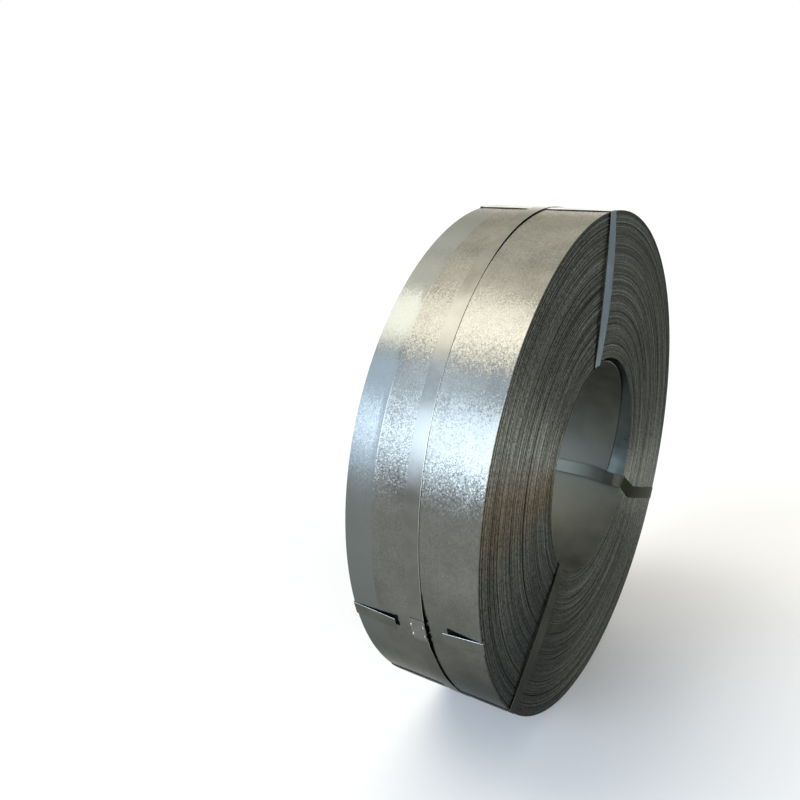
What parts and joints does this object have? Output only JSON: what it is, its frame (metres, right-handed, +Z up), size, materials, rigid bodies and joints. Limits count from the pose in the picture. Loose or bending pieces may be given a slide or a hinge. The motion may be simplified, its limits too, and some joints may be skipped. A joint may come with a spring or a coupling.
{
  "type": "strapped steel strip coil",
  "caption": "Coil of galvanised slit steel strip lying with its bore level, held by a belt strap round the outside, eye straps through the bore and an edge clip.",
  "frame": {"origin": "middle of the bore, on its axis and halfway along the strip's width", "axes": "+X along the bore towards the end at which the inner end of the strip has crept in, +Z up, -Y the side with the belt's seal"},
  "size_m": [0.3093, 1.1768, 1.1774],
  "materials": {
    "galvanised_strip": "hot-dip zinc with a fine spangle",
    "strap_steel": "smooth rolled strap",
    "seal_steel": "smooth pressed steel"
  },
  "bodies": {
    "root": {"coil": "galvanised_strip", "belt_strap": "strap_steel", "belt_seal": "seal_steel", "eye_strap_top": "strap_steel", "eye_strap_rear": "strap_steel", "eye_strap_front": "strap_steel", "eye_seal_top": "seal_steel", "eye_seal_rear": "seal_steel", "eye_seal_front": "seal_steel", "edge_clip": "strap_steel"}
  },
  "joints": []
}
